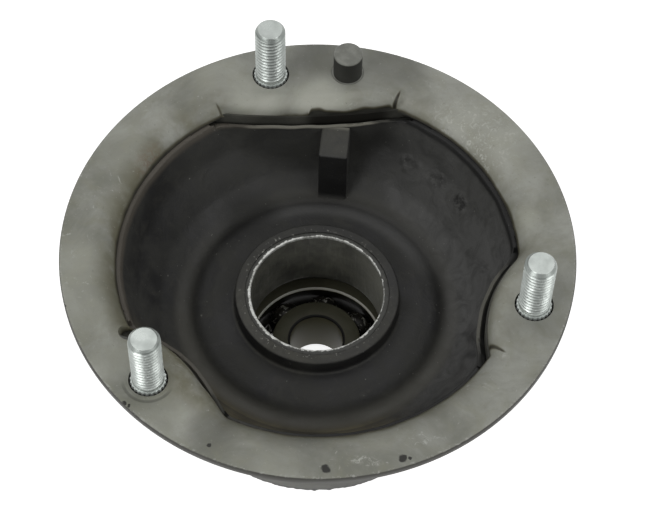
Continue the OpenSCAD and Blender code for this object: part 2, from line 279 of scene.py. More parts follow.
# paler and duller areas of the flange: x, y, radius, level; the pale spots on the long ear's roll, on the third
# ear's roll and at the front of the rim are painted highlights
flangeTonesAndHighlights = [(-6.0, 46.5, 11.0, 0.6), (-22.0, 43.0, 11.0, 0.5), (38.0, 41.0, 18.0, 0.3),
               (49.5, 15.7, 7.0, 0.45), (-29.0, -53.0, 11.0, 0.25), (4.0, -56.0, 12.0, -0.3),
               (60.0, -10.0, 14.0, -0.35), (-7.0, 61.0, 11.0, -0.5), (12.0, 60.0, 12.0, -0.55),
               (-60.0, -14.0, 12.0, 0.3), (-54.0, -28.0, 12.0, 0.25), (-18.0, -55.0, 8.0, -0.6),
               (34.0, -48.0, 14.0, -0.2), (-55.0, 23.0, 11.0, 0.2), (-12.6, 54.8, 8.0, -0.4),
               (-45.0, -40.0, 8.0, 0.3), (-36.0, 36.0, 7.0, -0.25), (-33.0, 50.0, 10.0, 0.25),
               (0.0, -63.0, 9.0, 0.18), (50.0, -6.0, 7.0, 0.35)]
# dark spots on the flange: x, y, radius
flangeSpots = [(10.7, -61.4, 1.4), (28.3, -55.8, 1.3), (30.1, -55.7, 0.5), (-17.7, -59.1, 0.7),
               (-39.8, -50.9, 0.7), (-38.6, -51.6, 0.6), (-59.6, -26.0, 0.8), (-41.3, 28.4, 0.8),
               (-40.2, 30.2, 0.6), (-42.6, 26.9, 0.5)]
# bare round marks in the bowl: direction, height, how dark; and the wall's radius there
mouldMarks = [(64.9, -17.4, 0.35), (53.6, -17.3, 0.5), (42.4, -17.5, 0.8)]
markRadius = 46.0


def makeFlangeSteel():
    # phosphated pressed steel: mottled grey, olive towards the lip, scuffed, smeared with dark rubber film, with
    # painted highlights, and painted shade in the creases and under the rolled lip
    made = startMaterial("phosphatedSteel", clouds=(20.0, 5.0, 0.62, 0.5), patches=(6.0, 4.0, 0.6, 0.8),
                         fine=(1.1, 4.0, 0.7), smears=(11.0, 4.0, 0.6), scuffs=(4.0, 6.0, 0.75, 1.8),
                         handled=(26.0, 1.0, 0.55), flecks=(1.6, 5.0, 0.8, 1.2))
    tree, place, x, y, z, radius = made.tree, made.place, made.x, made.y, made.z, made.radius
    # the right side and the back are handled a little paler
    worn = total(tree, (made.clouds, 1.0), (y, 0.0008), (x, 0.0006))
    layers = ["#75766c", ((worn, 0.3, 0.72), "#a3a49c"), ((made.patches, 0.42, 0.68, 0.0, 0.35), "#868674")]
    # paler and darker tones, among them painted highlights on the ears' rolls and at the rim's front
    for tx, ty, size, level in flangeTonesAndHighlights:
        tone = mask(tree, near(tree, place, (tx, ty, 0.0), size * 0.3, size), abs(level))
        layers.append((tone, "#bdbeb2" if level > 0 else "#5b5c55"))
    # olive-brown film towards the rolled lip, but not at the long ear; over the left roll it is partly painted
    # shade
    filmAndShade = mask(tree, (radius, 58.5, 50.5), (made.smears, 0.36, 0.62), (x, 35.0, -45.0, 0.35, 0.95),
                near(tree, place, (-8.0, 47.0, 0.0), 26.0, 20.0))
    layers += [(filmAndShade, "#67644f"), ((made.fine, 0.6, 0.8, 0.0, 0.7), "#65665d"),
               ((made.fine, 0.38, 0.26, 0.0, 0.5), "#b7b8b2")]
    # pale scuffs, a scraped patch on the roll at the right, and a wiped one at the front
    scuffs = mask(tree, (made.scuffs, 0.58, 0.7), (made.handled, 0.46, 0.6), 0.6)
    scraped = mask(tree, near(tree, place, (33.0, 38.0, -2.0), 6.0, 17.0), (made.flecks, 0.52, 0.64))
    squeezed = addNode(tree, "VectorMath", {0: place, 1: (1.0, 3.0, 1.0)}, operation="MULTIPLY")
    wiped = mask(tree, near(tree, squeezed.outputs[0], (19.6, -173.7, 0.0), 2.0, 5.0),
                 (made.flecks, 0.46, 0.62))
    # a rusty run along the lip at the far left
    rust = mask(tree, near(tree, place, (-45.0, 21.0, -3.5), 2.0, 8.0), (made.flecks, 0.4, 0.6), 0.6)
    layers += [(scuffs, "#c6c7c1"), (mask(tree, [scraped, wiped], 0.6), "#cdcec6"), (rust, "#6d5740")]
    # dark spots with wavering edges
    wander = addNode(tree, "TexNoise", {"Vector": place, "Scale": 0.6}).outputs["Color"]
    wobble = addNode(tree, "VectorMath", {0: wander, 1: (1.6, 1.6, 0.0), 2: made.flat},
                     operation="MULTIPLY_ADD").outputs[0]
    spots = [near(tree, wobble, (sx + 0.8, sy + 0.8, 0.0), size * 0.6, size) for sx, sy, size in flangeSpots]
    # the mark of a washer around the second stud, pressed in; the dark arc along its lower side only is painted
    # shade
    px, py = studPlaces[1]
    gap = addNode(tree, "VectorMath", {0: place, 1: (px, py, 0.0)}, operation="DISTANCE").outputs["Value"]
    washer = mask(tree, (gap, 5.65, 6.05), (gap, 6.75, 6.35), (y, py - 1.0, py - 4.0))
    layers += [(spots, "#161510"), (mask(tree, washer, 0.45), "#3a3a34")]
    # a sheared rim: dark below its edge, with bright nicks
    sheared = mask(tree, (radius, 64.5, 64.75), (z, -0.03, -0.15))
    nicks = mask(tree, (radius, 64.1, 64.5), (z, -0.3, -0.1), (made.flecks, 0.52, 0.62), 0.45)
    layers += [(sheared, layered(tree, "#24231f", (made.patches, "#3b3a34"))), (nicks, "#c2c3bd")]
    # painted shade in the creases and where the lip rolls under, with rubber film on the lip's lower edge
    dark = addNode(tree, "Attribute", attribute_name="filmAndShade").outputs["Fac"]
    layers += [((dark, 0.0, 0.6), "#4d4a3a"), ((dark, 0.4, 1.0), "#25241d")]
    roughness = mask(tree, (made.clouds, 0.3, 0.7, 0.46, 0.62))
    return endMaterial(made, layers, {"Metallic": 0.1, "Roughness": roughness},
                       [(made.fine, 0.3), (made.patches, 1.0), (washer, -0.6)], 0.16, 0.7)


def makeShellSteel():
    # the same phosphate, darker and dirtier, with rubber flash at the foot, and painted shade inside round the
    # stud pockets, above the bowl
    made = startMaterial("darkPhosphatedSteel", clouds=(16.0, 5.0, 0.62, 0.5), fine=(1.4, 4.0, 0.7))
    filmAndShade = addNode(made.tree, "Attribute", attribute_name="filmAndShade").outputs["Fac"]
    layers = ["#42423d", ((made.clouds, 0.35, 0.65), "#565650"), ((made.fine, 0.6, 0.8), "#3c3c37"),
              (filmAndShade, "#1b1a17")]
    return endMaterial(made, layers, {"Specular IOR Level": 0.2, "Roughness": 0.55},
                       [(made.fine, 0.4), (made.clouds, 1.0)], 0.15, 0.6)


def makeRubber():
    # moulded black rubber: matt, cloudy with grey and brown bloom, a little dust where it faces up; painted light
    # on the walls and the ledge, painted shade in the groove, under the right lip and on the rib's front
    made = startMaterial("mouldedRubber", clouds=(13.0, 5.0, 0.6, 0.6), bloom=(5.0, 5.0, 0.65, 1.0),
                         fine=(0.8, 3.0, 0.6), lumps=(1.3, 3.0, 0.7), crumbs=(0.9, 2.0, 0.55),
                         rings=(1.6, 3.0, 0.6, 0.4))
    tree, place, x, y, z, radius = made.tree, made.place, made.x, made.y, made.z, made.radius
    layers = ["#232323", ((made.clouds, 0.35, 0.7), "#343431"), ((made.bloom, 0.5, 0.75, 0.0, 0.6), "#3d3c38")]
    # the collar's face and the rib's top are scuffed grey, the collar most at the front left
    normal = addNode(tree, "NewGeometry").outputs["Normal"]
    facing = addNode(tree, "SeparateXYZ", {0: normal}).outputs[2]
    collar = mask(tree, (y, 10.0, -10.0, 0.2, 1.0), (x, 12.0, -8.0, 0.5, 1.0), (radius, 22.6, 21.6))
    dust = mask(tree, (facing, 0.5, 0.95), [collar, (z, -9.6, -8.6, 0.0, 0.7)],
                (made.bloom, 0.25, 0.6, 0.4, 1.0), 0.6)
    # the right wall has bloomed grey, partly painted light; the far wall is painted lighter, as painted light; the
    # front one is streaked brown along the mould's turning, made paler as painted light
    wall = mask(tree, (radius, 33.0, 37.0), (z, -6.5, -8.5))
    grey = mask(tree, (x, 10.0, 30.0), wall, (made.bloom, 0.3, 0.62, 0.35, 1.0), (y, -38.0, -14.0, 0.35, 1.0))
    back = mask(tree, (y, 8.0, 34.0), wall, 0.5)
    brown = mask(tree, (y, -16.0, -36.0), wall, (x, 32.0, 14.0), (made.rings, 0.36, 0.6, 0.35, 1.0),
                 (made.clouds, 0.32, 0.6, 0.45, 1.0))
    layers += [(dust, "#504f47"), (grey, "#525251"), (back, "#3c3c39"), (brown, "#6a6450")]
    # painted highlight on the ledge's far shoulder, and painted light in the groove against its shade
    shoulderHighlight = mask(tree, (radius, 26.0, 29.0), (radius, 35.5, 33.0), (y, 8.0, 22.0, 0.0, 0.9), (x, -26.0, -12.0))
    groove = mask(tree, (z, -26.8, -29.0), (y, -20.0, 10.0, 0.9, 0.35))
    # painted shade: far left in the groove, and the rib's shadow on the wall right of the rib
    paintedShade = [near(tree, place, (-22.0, 25.0, -28.0), 4.0, 12.0),
            near(tree, place, (11.0, 43.0, -15.0), 3.0, 9.0)]
    layers += [(shoulderHighlight, "#565655"), (groove, "#4e4d47"), (mask(tree, paintedShade, 0.65), "#1a1a19")]
    # three rough marks from the mould
    for markAngle, markZ, level in mouldMarks:
        turn = math.radians(markAngle)
        mark = near(tree, place, (markRadius * math.cos(turn), markRadius * math.sin(turn), markZ), 1.6, 3.2)
        layers.append((mask(tree, mark, (made.lumps, 0.42, 0.58), level), "#151514"))
    # painted highlight along the rubber's top edge by the ears, and a stain at the left
    ridge = mask(tree, (z, -7.3, -6.9), (radius, 47.0, 45.5), (y, 30.0, 38.0, 0.45, 1.0), 0.7)
    stained = mask(tree, (z, -8.2, -6.4), (x, -15.0, -32.0), 0.8)
    # painted shade: the rib's front face and the rubber's edge under the right lip are painted black
    front = mask(tree, (z, -9.2, -9.9), (z, -28.5, -26.0), (radius, 34.0, 34.4), (radius, 35.5, 35.2))
    under = mask(tree, (radius, 47.6, 49.2), (z, -7.5, -6.5), (x, -20.0, 10.0))
    # pale crumbs, most of them by the sleeve's rim
    byRim = mask(tree, (made.crumbs, 0.6, 0.68), (radius, 20.6, 19.0), (x, 14.0, -8.0, 0.3, 1.0))
    layers += [(ridge, "#8b897e"), (stained, "#57524a"), ([front, under], "#111110"),
               ([(made.crumbs, 0.72, 0.78, 0.0, 0.5), byRim], "#8f8f88")]
    roughness = mask(tree, (made.clouds, 0.3, 0.7, 0.5, 0.7))
    return endMaterial(made, layers, {"Specular IOR Level": 0.35, "Roughness": roughness},
                       [(made.fine, 0.2), (made.bloom, 1.0)], 0.25, 0.7)


def makeSleeveSteel():
    # drawn steel under a dark film: only the edge of the bore is bright
    made = startMaterial("drawnSteel", clouds=(8.0, 4.0, 0.6), torn=(1.5, 5.0, 0.75), slow=(9.0, 2.0, 0.55))
    tree = made.tree
    # the bright edge is widest on the left and thinnest at the back
    edge = total(tree, (made.radius, 1.0), (made.x, 0.011), (made.y, 0.008), (made.torn, -1.5),
                 (made.slow, -1.0))
    bare = mask(tree, (edge, 16.62, 16.37), (made.z, -22.3, -21.9))
    # drawing marks run along the tube
    stretched = addNode(tree, "VectorMath", {0: made.place, 1: (1.0, 1.0, 0.12)}, operation="MULTIPLY")
    marks = {"Vector": stretched.outputs[0], "Scale": 1 / 0.9, "Detail": 3.0, "Roughness": 0.6}
    streaks = addNode(tree, "TexNoise", marks).outputs["Fac"]
    # painted light on the bore's right side, and a rubber film on the rim's face
    rightSideLight = mask(tree, (made.x, 5.0, 17.0, 0.0, 0.5), (made.z, -22.0, -22.8))
    layers = ["#4a4a45", ((made.clouds, 0.3, 0.7), "#66665d"), ((streaks, 0.5, 0.75, 0.0, 0.35), "#84847a"),
              (rightSideLight, "#a2a298"), ((made.z, -22.4, -21.9, 0.0, 0.9), "#32322f"),
              (bare, layered(tree, "#8d8d86", ((made.torn, 0.35, 0.6), "#d6d7d3")))]
    return endMaterial(made, layers, {"Metallic": mask(tree, (bare, 0.0, 1.0, 0.2, 0.6)),
                                      "Roughness": mask(tree, (made.torn, 0.3, 0.7, 0.36, 0.55))},
                       [(made.torn, 1.0), (streaks, 1.0)], 0.1, 0.8)


def makeBearingSteel():
    # bearing steel: dark grease on the end faces, dull ground steel in the bore, black oil in the tracks, a
    # painted highlight on the outer race's edge
    made = startMaterial("greasedBearingSteel", oil=(4.0, 4.0, 0.6, 0.8), rings=(0.35, 2.0, 0.55))
    tree, z, radius = made.tree, made.z, made.radius
    normal = addNode(tree, "NewGeometry").outputs["Normal"]
    facing = addNode(tree, "SeparateXYZ", {0: normal}).outputs[2]
    face = mask(tree, [(facing, 0.75, 0.97), (facing, -0.75, -0.97)],
                [(radius, 12.45, 12.05), (radius, 16.85, 17.25)])
    wet = mask(tree, (radius, 11.7, 11.95), (radius, 17.6, 17.4))
    track = mask(tree, (radius, 17.3, 17.4), (radius, 20.5, 20.3), (z, -48.4, -48.7), (z, -59.6, -59.2))
    # black chamfer at the bore; a painted highlight on the outer race's inner edge
    chamfer = mask(tree, (radius, 7.8, 7.6), (z, -46.0, -45.8))
    edge = mask(tree, (radius, 17.4, 17.5), (radius, 17.85, 17.75), (z, -48.4, -48.2))
    layers = ["#6a6645", ((z, -46.0, -57.0), "#5a5636"), (face, layered(tree, "#454438", (made.oil, "#5c5b4b"))),
              ([wet, track], "#1f1e19"), (chamfer, "#12110e"), (edge, "#f2f1e6")]
    return endMaterial(made, layers, {"Specular IOR Level": 0.15, "Roughness": 0.42},
                       [(made.rings, 1.0)], 0.008, 0.5)


def makeBallSteel():
    # polished balls under dark oil: near black, with small glints
    made = startMaterial("polishedBallSteel", oil=(1.5, 4.0, 0.6, 0.8))
    bare = mask(made.tree, (made.oil, 0.54, 0.62))
    return endMaterial(made, ["#1d1c17", (bare, "#f2f1ea")], {"Metallic": bare, "Roughness": 0.2})


def makeCageSteel():
    # thin pressed strip, brown with old grease, bare in places
    made = startMaterial("pressedStrip", oil=(3.0, 4.0, 0.6), worn=(1.3, 4.0, 0.6, 0.8))
    bare = mask(made.tree, (made.worn, 0.56, 0.64))
    layers = ["#2c2a23", ((made.oil, 0.35, 0.7), "#1f1d18"), (bare, "#e9e8e0")]
    return endMaterial(made, layers, {"Metallic": mask(made.tree, (bare, 0.0, 1.0, 0.2, 1.0)),
                                      "Roughness": mask(made.tree, (made.oil, 0.3, 0.7, 0.3, 0.45))},
                       [(made.oil, 1.0)], 0.03, 0.5)


def makeZinc():
    # bright zinc plate: pale silver, slightly greenish, its fine crystals drawn coarser than they are
    made = startMaterial("brightZinc", cloud=(4.0, 4.0, 0.6), fine=(0.5, 2.0, 0.55))
    tree, z = made.tree, made.z
    # the thread's roots are darker, dirt and painted shade; the chamfered end is darker as painted shade; the
    # splines are painted dark in their holes as painted shade
    gaps = [addNode(tree, "VectorMath", {0: made.flat, 1: (px, py, 0.0)}, operation="DISTANCE")
            for px, py in studPlaces]
    reach = mask(tree, *[gap.outputs["Value"] for gap in gaps], operation="MINIMUM")
    root = mask(tree, (reach, 3.85, 3.45), (z, 18.3, 18.1), 0.8)
    tip = mask(tree, (reach, 3.12, 3.2), (z, 17.8, 18.0), 0.6)
    layers = ["#c0c6c2", ((made.cloud, 0.35, 0.65), "#adb3af"), (root, "#565b58"), (tip, "#6e7470"),
              ((z, -0.1, -0.4), "#22211d")]
    roughness = mask(tree, (made.cloud, 0.3, 0.7, 0.26, 0.38))
    return endMaterial(made, layers, {"Metallic": 0.6, "Roughness": roughness}, [(made.fine, 1.0)], 0.012, 0.5)


def makePinSteel():
    # dull grey phosphate on a turned pin, its sides painted dark with film and painted shade
    made = startMaterial("dullPinSteel", cloud=(3.0, 4.0, 0.6), fine=(0.7, 3.0, 0.65))
    filmAndShade = mask(made.tree, (made.z, 7.6, 7.2), (made.z, 0.02, 0.12), 0.95)
    layers = ["#75766f", ((made.cloud, 0.35, 0.65), "#888982"), (filmAndShade, "#1f1f1c")]
    return endMaterial(made, layers, {"Metallic": 0.15, "Roughness": 0.55}, [(made.fine, 1.0)], 0.05, 0.5)


flangeSteel = makeFlangeSteel()
shellSteel = makeShellSteel()
rubber = makeRubber()
sleeveSteel = makeSleeveSteel()
bearingSteel = makeBearingSteel()
ballSteel = makeBallSteel()
cageSteel = makeCageSteel()
zinc = makeZinc()
pinSteel = makePinSteel()
print("materials made")


# flange plate

plate = {"rim": 65.0, "thick": 2.5, "opening": 50.5, "bend": 8.0, "depth": 5.5, "reach": 10.5,
         "earBend": 4.0, "columns": 1440, "studHole": 4.85, "pinHole": 4.3,
         # notch in the lip: distance from the axis, direction, radius
         "vent": (52.5, 216.0, 2.6),
         # where an ear's edge runs into the ring's: direction, softness of the corner
         "corners": [(75.1, 0.3), (126.0, 0.5), (214.7, 4.0), (247.4, 9.0), (334.7, 0.3), (7.4, 3.0)],
         # creases pressed in at the ears' ends: direction and radius at both ends, depth
         "creases": [(74.9, 48.5, 74.4, 54.6, 0.8), (127.4, 49.0, 128.4, 53.8, 0.35),
                     (335.7, 49.6, 334.8, 55.2, 0.5)]}


def rolledIn(depth, bend):
    # how far a rolled edge has come in, at a depth under its flat
    d = min(max(depth, 0.0), bend)
    return math.sqrt(bend ** 2 - (bend - d) ** 2)


def plateInner(angle, depth, skin):
    # the plate's inner outline at a depth under one of its faces; skin is 0 above, the thickness below
    ringBend, earBend = plate["bend"] - skin, plate["earBend"] - skin
    ring = plate["opening"] + plate["bend"] - rolledIn(depth, ringBend)
    reach = plate["reach"] - plate["earBend"] + rolledIn(depth, earBend)
    soft = 0.5
    for direction, softness in plate["corners"]:
        soft += (softness - 0.5) * bump1(turned(angle, direction), 0, 12.0)
    return smoothMin(ring, earRadius(angle, reach), soft)


def crease(angle, r):
    # how deep a crease is at a place
    deepest = 0.0
    for inward, start, outward, end, depth in plate["creases"]:
        share = (end - r) / (end - start)
        off = math.radians(turned(angle, outward + (inward - outward) * share)) * r
        if abs(off) < 2 and 0 < share < 1.2:
            deepest = max(deepest, depth * bump1(off, 0, 0.18 + 0.34 * share) * min(1, share * 4))
    return deepest


def lipEdge(angle):
    # the lip's trimmed edge: uneven, and cut short along the right half of the long ear
    low = -plate["depth"] + 0.15 + 0.15 * rough2(angle, 0, 9.0, 3.0)
    a = math.degrees(angle)
    if 70 < a < 130:
        low += 0.2 * rough2(angle, 0, 2.5, 7.0) - 0.45 * within(a, 102.0, 124.0, 1.0)
        cut = 1.7 + 0.3 * rough2(angle, 0, 4.0, 2.0) + 0.7 * bump1(a, 98.4, 2.4) - 0.75 * bump1(a, 88.0, 4.2)
        low += within(a, 75.4, 101.0, 0.5) * cut
    return low


def plateMesh():
    lipSteps, flatSteps, underSteps = 18, 16, 9
    rows = [("upper", 1 - k / lipSteps) for k in range(lipSteps + 1)]
    rows += [("flat", k / flatSteps) for k in range(1, flatSteps)]
    rim = plate["rim"]
    rimSection = [(0.6, 0.0), (0.2, -0.08), (0.0, -0.45), (0.0, -1.2), (0.03, -2.1), (0.25, -2.42), (0.7, -2.5)]
    rows += [("rim", (rim - inset, z)) for inset, z in rimSection]
    rows += [("under", 1 - k / 4) for k in range(1, 4)]
    rows += [("lower", k / underSteps) for k in range(underSteps + 1)]

    def at(i, angle):
        kind, t = rows[i]
        edge = lipEdge(angle)
        if kind == "upper":
            z = edge * t * t
            r = plateInner(angle, -z, 0.0)
            return r, z - crease(angle, r) * (1 - t)
        if kind == "flat":
            start = plateInner(angle, 0.0, 0.0)
            r = start + (rim - 0.6 - start) * t
            return r, -crease(angle, r)
        if kind == "rim":
            return t
        thick = plate["thick"]
        if kind == "under":
            start = plateInner(angle, 0.0, thick)
            return start + (rim - 0.7 - start) * t, -thick
        z = -thick + (edge + thick) * t * t
        return plateInner(angle, -z - thick, thick), z

    return skinMesh(len(rows), plate["columns"], at)


def drilled(mesh, holes):
    # round holes (x, y, radius) cut right through a plate
    cutter = bmesh.new()
    for hx, hy, size in holes:
        bmesh.ops.create_cone(cutter, cap_ends=True, segments=96, radius1=size * mm, radius2=size * mm,
                              depth=0.03, matrix=Matrix.Translation((hx * mm, hy * mm, 0)))
    cutMesh = bpy.data.meshes.new("holeCutter")
    cutter.to_mesh(cutMesh)
    cutter.free()
    cutObject = bpy.data.objects.new("holeCutter", cutMesh)
    work = bpy.data.objects.new("holeWork", mesh)
    for one in (cutObject, work):
        bpy.context.collection.objects.link(one)
    modifier = work.modifiers.new("holes", "BOOLEAN")
    modifier.operation, modifier.solver, modifier.object = "DIFFERENCE", "EXACT", cutObject
    bpy.context.view_layer.update()
    result = bpy.data.meshes.new_from_object(work.evaluated_get(bpy.context.evaluated_depsgraph_get()))
    for one in (work, cutObject):
        bpy.data.objects.remove(one)
    return result


def plateFilmAndShade(x, y, z):
    # painted shade in the creases, and along the lip's edge dark rubber film with painted shade where the roll
    # turns under
    angle, r = math.atan2(y, x), math.hypot(x, y)
    if z > 0.01 or r > 59:
        return 0.0
    depth = max(-z, 0.0)
    a = math.degrees(angle)
    leftHalf = 101.5 < a < 128     # of the long ear, where the film thins out towards the left
    toSlot = min(max((123 - a) / 18, 0), 1) if leftHalf else 0.0
    # widest on the roll at the front, as painted shade where it turns under
    wide = 1.5 + 1.1 * toSlot if 75 < a < 128 else 1.3
    wide += 3.0 * bump1(turned(angle, 288), 0, 36.0) + 0.3 * bump1(turned(angle, 185), 0, 35.0)
    start = -lipEdge(angle % (2 * math.pi)) - wide * (1 + 0.25 * rough2(angle, 0, 6.0, 5.0))
    edge = min(max((depth - start) / (0.7 * wide + 0.3), 0), 1) * (0.8 + 0.2 * rough2(angle, z, 2.0, 9.0))
    if leftHalf:
        edge *= 0.45 + 0.3 * toSlot
    inward = min(max((54.0 - r + 1.2 * rough2(angle, 0, 5.0, 4.0)) / 4.5, 0), 1)
    front = 0.7 * bump1(turned(angle, 282), 0, 30.0) * inward
    return min(1.0, max(1.25 * edge, front, 1.8 * crease(angle, r)))


def paintFilmAndShade(mesh, rule):
    # how much rubber film and painted shade lies at each point, from its place in millimetres
    values = mesh.attributes.new("filmAndShade", "FLOAT", "POINT").data
    for vertex, value in zip(mesh.vertices, values):
        value.value = rule(*(vertex.co / mm))


raw = plateMesh()
faceOut(raw)
plateHoles = [(px, py, plate["studHole"]) for px, py in studPlaces] + [(0.0, boltRadius, plate["pinHole"])]
ventReach, ventAngle, ventSize = plate["vent"]
ventTurn = math.radians(ventAngle)
plateHoles.append((ventReach * math.cos(ventTurn), ventReach * math.sin(ventTurn), ventSize))
flange = addPiece("flangePlate", drilled(raw, plateHoles), flangeSteel, "mount",
                  ["upper_plate"], 40.0)
paintFilmAndShade(flange.data, plateFilmAndShade)
print("flange plate made")


# conical shell under the plate

shell = {"brow": 59.0, "rim": 62.0, "waist": 46.5, "foot": 37.5, "lip": 32.5, "thick": 2.0, "columns": 720}


def shellMesh():
    t = shell["thick"]
    outside = filleted([(shell["rim"], -4.5, 0), (shell["brow"] + t, -4.5, 1.5), (shell["waist"] + t, -24, 14),
                        (shell["foot"], -62, 4), (shell["lip"] + 0.3, -62, 0.2), (shell["lip"], -61.5, 0)])
    inside = filleted([(shell["lip"], -60.2, 0), (shell["lip"] + 0.2, -60, 0), (35.5, -60, 2),
                       (shell["waist"], -24, 14), (shell["brow"], -2.5, 0), (shell["rim"], -2.5, 0)])
    outline = [(p, 9.0) for p in dense(outside, 1.5)] + [(p, 11.0) for p in dense(inside, 2.6)]

    def at(i, angle):
        (r, z), reach = outline[i]
        if z > -38:
            r = min(r, earRadius(angle, reach))
            if r > earRadius(angle, 12.0):
                z = min(z, -4.4 if reach < 10 else -4.6)     # its free edge stands behind the lip
        elif z < -57.0:
            r += 0.4 * (rough2(angle, 0, 1.8, 8.0) - 0.3) * bump1(z, -60.0, 1.2)     # ragged flash
        return r, z

    return skinMesh(len(outline), shell["columns"], at)


def shellFilmAndShade(x, y, z):
    # painted shade inside, above the bowl, where it shows under the lip and through the slot, and rubber flash at
    # the foot
    angle, r = math.atan2(y, x), math.hypot(x, y)
    if z < -55:
        return min(max((-56.6 - z + 0.9 * rough2(angle, 0, 2.5, 3.0)) / 0.5, 0), 1)
    if z < -12 or r > min(earRadius(angle, 10.0), 47.5 + 0.61 * (z + 24)):
        return 0.0
    # painted shade, darkest where the lip is cut short, thin at the long ear's left end and by the third ear
    a = math.degrees(angle)
    thin = 0.3 * bump1(a, 124.5, 4.0) + 0.3 * bump1(turned(angle, 349), 0, 12.0)
    return 0.35 - thin + 0.65 * within(a, 76.0, 101.5, 1.5)


cone = addPiece("conicalShell", shellMesh(), shellSteel, "mount", ["lower_shell"])
paintFilmAndShade(cone.data, shellFilmAndShade)
print("shell made")


# rubber bowl

bowl = {"columns": 660, "soft": 2.2, "face": 13.0, "back": 11.0}
rib = {"half": 3.8, "front": 34.6, "back": 43.2, "low": -30.5, "frontTop": -9.2, "backTop": -6.9, "round": 0.6,
       "lean": 1.5}


def rubberMesh():
    front = filleted([(18.8, -21.5, 0), (21.4, -21.5, 0.6), (21.4, -26, 0.9), (27, -26, 6), (31, -26.8, 6),
                      (34.8, -29.8, 4.0), (40.8, -24.8, 8), (46.8, -15.5, 14), (49.9, -5.9, 0), (50.1, -5.6, 0),
                      (50.7, -5.5, 0)])
    outer = filleted([(57.0, -5.5, 0), (57.26, -5.6, 0), (46.5, -24, 14), (37.0, -55, 0), (32.5, -54.4, 2),
                      (28, -47, 4), (24.8, -49, 2), (24.8, -58.1, 0.8), (22.6, -58.1, 0), (22.6, -46.3, 3.4),
                      (18.8, -41.3, 1.8), (18.8, -22.0, 0)], 20.0)
    front, outer = dense(front, 1.0), dense(outer, 5.0)

    def at(i, angle):
        if i >= len(front):
            r, z = outer[i - len(front)]
            if z > -38:
                r = min(r, earRadius(angle, bowl["back"]))
                if r > earRadius(angle, bowl["face"] + 1):
                    z = min(z, -8.3)
            return r, z
        r, z = front[i]
        face = earRadius(angle, bowl["face"] if i < len(front) - 1 else bowl["face"] - 0.8)
        wall = min(max((r - 36.5) / 3, 0), 1)     # 1 on the bowl's wall, 0 from the groove inwards
        r = smoothMin(r, face, bowl["soft"] + 3.0 * bump1(turned(angle, 248), 0, 10.0))
        if r > earRadius(angle, bowl["face"] + 1):
            z = min(z, -6.7 + 0.18 * rough2(angle, 0, 3.0, 1.0))
        # folds beside the third ear, and a slow unevenness all round
        a = turned(angle, -17.0)
        fold = bump1(a, 0, 9.0) * bump1(z, -18, 5.0)
        r -= wall * 2.2 * fold * math.sin(0.55 * a + 0.42 * z)
        r += wall * 0.25 * rough2(angle, z, 7.0, 5.0)
        # three bare round marks from the mould
        for markAngle, markZ, _ in mouldMarks:
            d = math.hypot(math.radians(turned(angle, markAngle)) * r, (z - markZ) * 1.15)
            if d < 5:
                uneven = rough2(angle, z, 0.9, 2.0)
                edge = 0.34 * bump1(d, 2.0 + 0.6 * uneven, 0.5) * (0.4 + 1.6 * uneven)
                r -= edge + 0.3 * bump1(d, 1.0, 1.6) * uneven
        return r, z

    return skinMesh(len(front) + len(outer), bowl["columns"], at)


def ribMesh(mesh):
    # the upright rib in line with the pin, rounded, joined to the bowl's mesh
    work = bmesh.new()
    corners = [(rib["front"], rib["frontTop"]), (rib["back"], rib["backTop"]), (rib["back"], rib["low"]),
               (rib["front"], rib["low"])]
    left = [work.verts.new((-rib["half"] * mm, cy * mm, cz * mm)) for cy, cz in corners]
    right = [work.verts.new((rib["half"] * mm, cy * mm, cz * mm)) for cy, cz in corners]
    work.faces.new(left)
    work.faces.new(right[::-1])
    for k in range(4):
        n = (k + 1) % 4
        work.faces.new((left[n], left[k], right[k], right[n]))
    bmesh.ops.recalc_face_normals(work, faces=work.faces)
    bmesh.ops.bevel(work, geom=work.edges[:], offset=rib["round"] * mm, segments=4, profile=0.5, affect="EDGES")
    lean = Matrix.Rotation(math.radians(rib["lean"]), 3, "Z")
    bmesh.ops.rotate(work, verts=work.verts, cent=(0, 0, 0), matrix=lean)
    work.from_mesh(mesh)
    work.to_mesh(mesh)
    work.free()
    return mesh


addPiece("rubberBowl", ribMesh(rubberMesh()), rubber, "mount", ["rubber_body"], 50.0)
print("rubber bowl made")


# sleeve

sleeve = {"neck": 18.8, "bore": 17.2, "seatOut": 22.6, "seat": 21.0, "crimp": 19.8, "foot": -61.7, "columns": 360}
neck, bore, seatOut, seat, crimp = (sleeve[key] for key in ("neck", "bore", "seatOut", "seat", "crimp"))
sleeveLine = filleted([(neck, -21.8, 0), (neck, -41.3, 1.8), (seatOut, -46.3, 3.4), (seatOut, sleeve["foot"], 0.8),
                       (crimp, sleeve["foot"], 0), (crimp, -60.5, 0), (seat, -60.5, 0), (seat, -46.3, 1.8),
                       (bore, -41.3, 3.4), (bore, -21.75, 0), (17.35, -21.4, 0), (17.6, -21.3, 0),
                       (18.4, -21.3, 0), (18.7, -21.45, 0)])
sleeveLine = dense(sleeveLine, 0.8)


def sleeveAt(i, angle):
    # the rim is scraped and a little out of true
    r, z = sleeveLine[i]
    if z > -23:
        z -= 0.12 * (1 + rough2(angle, 0, 2.2, 4.0)) * min(1, (z + 23) / 1.5)
        r += 0.06 * rough2(angle, z, 1.5, 6.0)
    return r, z


sleeveMesh = skinMesh(len(sleeveLine), sleeve["columns"], sleeveAt)
addPiece("bearingSleeve", sleeveMesh, sleeveSteel, "mount", ["bearing_sleeve"])
print("sleeve made")


# ball bearing

bearing = {"pitch": 14.65, "drop": -54.0, "ball": 3.97, "groove": 4.09, "count": 8}
cage = {"inner": 13.25, "outer": 16.05, "pocket": 4.15, "thick": 0.6, "rivet": 0.93, "columns": 480}


